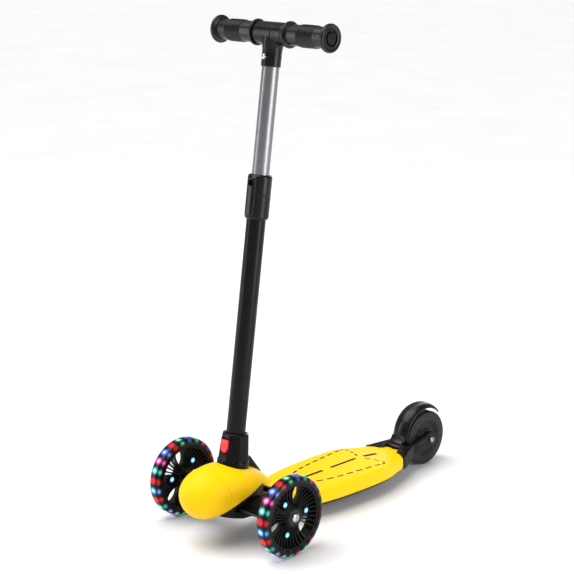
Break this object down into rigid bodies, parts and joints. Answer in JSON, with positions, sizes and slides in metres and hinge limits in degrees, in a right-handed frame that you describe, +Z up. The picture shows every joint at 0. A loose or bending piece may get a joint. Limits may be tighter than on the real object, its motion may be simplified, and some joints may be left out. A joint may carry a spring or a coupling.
{
  "type": "kick scooter",
  "caption": "Child's three-wheeled kick scooter that steers by leaning, with a height-adjustable T-bar, light-up front wheels and a foot brake.",
  "frame": {"origin": "on the ground under the middle of the scooter's bounding box", "axes": "+Z up, front towards -Y, +X to the rider's left"},
  "size_m": [0.255, 0.566, 0.7476],
  "materials": {
    "yellow_plastic": "smooth moulded plastic",
    "black_plastic": "fine moulded grain",
    "gloss_black_plastic": "polished mould",
    "black_painted_tube": "satin powder coat",
    "silver_tube": "satin drawn tube",
    "steel": "bright steel",
    "zinc_yellow_steel": "yellow zinc plating",
    "smoky_tyre": "clear smoky urethane over coloured spots",
    "grey_tyre": "cast urethane",
    "hub_plastic": "moulded nylon",
    "grip_rubber": "moulded rubber",
    "red_plastic": "smooth moulded plastic",
    "lamp": "clear lens over a lamp"
  },
  "bodies": {
    "deck": {"deck_base": "black_plastic", "deck_cover": "yellow_plastic", "deck_inlays": "black_plastic", "front_carrier": "black_plastic", "carrier_screws": "steel", "kingpins": "steel", "lean_bolt": "steel", "lean_nut": "steel", "lean_bumpers": "grip_rubber", "rear_axle_bolt": "zinc_yellow_steel", "rear_axle_nut": "zinc_yellow_steel", "rear_side_bushes": "steel", "brake_pin": "steel", "brake_spring": "steel"},
    "head": {"steering_head": "black_plastic", "front_cover": "yellow_plastic"},
    "release": {"release_button": "red_plastic", "release_spring": "steel"},
    "stem": {"lower_tube": "black_painted_tube", "height_collar": "gloss_black_plastic", "stem_foot_plug": "black_plastic"},
    "handlebar": {"upper_tube": "silver_tube", "upper_tube_foot": "black_plastic", "tee_piece": "black_plastic", "tee_screw": "steel", "bar_tube": "steel", "left_grip": "grip_rubber", "right_grip": "grip_rubber", "left_grip_plug": "gloss_black_plastic", "right_grip_plug": "gloss_black_plastic"},
    "height_button": {"height_pin": "steel", "height_pin_spring": "steel"},
    "left_steer": {"left_knuckle": "black_plastic", "left_axle_bolt": "steel"},
    "right_steer": {"right_knuckle": "black_plastic", "right_axle_bolt": "steel"},
    "steer_link": {"tie_rod": "black_plastic"},
    "left_wheel": {"left_tyre": "smoky_tyre", "left_hub": "hub_plastic", "left_bearings": "steel", "left_magnet_spacer": "steel", "left_lamps": "lamp"},
    "right_wheel": {"right_tyre": "smoky_tyre", "right_hub": "hub_plastic", "right_bearings": "steel", "right_magnet_spacer": "steel", "right_lamps": "lamp"},
    "rear_wheel": {"rear_tyre": "grey_tyre", "rear_hub": "hub_plastic", "rear_bearings": "steel", "rear_inner_spacer": "steel"},
    "brake": {"rear_fender": "gloss_black_plastic", "brake_shoe": "black_plastic"}
  },
  "joints": [
    {"name": "lean", "type": "hinge", "parent": "deck", "child": "head", "pos_m": [0, -0.186, 0.07], "axis": [0, 1, 0], "range_deg": [-12, 12], "stiffness_Nm_per_rad": 30, "deforming": ["lean_bumpers"]},
    {"name": "left_steering", "type": "hinge", "parent": "deck", "child": "left_steer", "pos_m": [0.086, -0.186, 0.06], "axis": [0, 0, 1], "range_deg": [-15.5, 15.5]},
    {"name": "right_steering", "type": "hinge", "parent": "deck", "child": "right_steer", "pos_m": [-0.086, -0.186, 0.06], "axis": [0, 0, 1], "range_deg": [-15.5, 15.5]},
    {"name": "tie_rod_slide", "type": "slide", "parent": "deck", "child": "steer_link", "axis": [1, 0, 0], "range_m": [-0.0066, 0.0066]},
    {"name": "left_wheel_spin", "type": "hinge", "parent": "left_steer", "child": "left_wheel", "pos_m": [0.114, -0.186, 0.06], "axis": [1, 0, 0], "continuous": true},
    {"name": "right_wheel_spin", "type": "hinge", "parent": "right_steer", "child": "right_wheel", "pos_m": [-0.114, -0.186, 0.06], "axis": [1, 0, 0], "continuous": true},
    {"name": "rear_wheel_spin", "type": "hinge", "parent": "deck", "child": "rear_wheel", "pos_m": [0, 0.238, 0.045], "axis": [1, 0, 0], "continuous": true},
    {"name": "brake_press", "type": "hinge", "parent": "deck", "child": "brake", "pos_m": [0, 0.1755, 0.0435], "axis": [1, 0, 0], "range_deg": [-3.5, 0], "stiffness_Nm_per_rad": 6, "springref_deg": 2.86},
    {"name": "stem_release", "type": "slide", "parent": "head", "child": "stem", "axis": [0, 0.1392, 0.9903], "range_m": [0, 0.058]},
    {"name": "release_press", "type": "slide", "parent": "head", "child": "release", "axis": [0, 0.9903, -0.1392], "range_m": [0, 0.0024], "stiffness_N_per_m": 800},
    {"name": "bar_height", "type": "slide", "parent": "stem", "child": "handlebar", "axis": [0, 0.1392, 0.9903], "range_m": [-0.15, 0]},
    {"name": "height_press", "type": "slide", "parent": "handlebar", "child": "height_button", "axis": [0, 0.9903, -0.1392], "range_m": [0, 0.0024], "stiffness_N_per_m": 800}
  ],
  "couplings": [
    {"joint": "left_steering", "follows": "lean", "ratio": 1.25},
    {"joint": "right_steering", "follows": "lean", "ratio": 1.25},
    {"joint": "tie_rod_slide", "follows": "lean", "m_per_rad": 0.03}
  ]
}
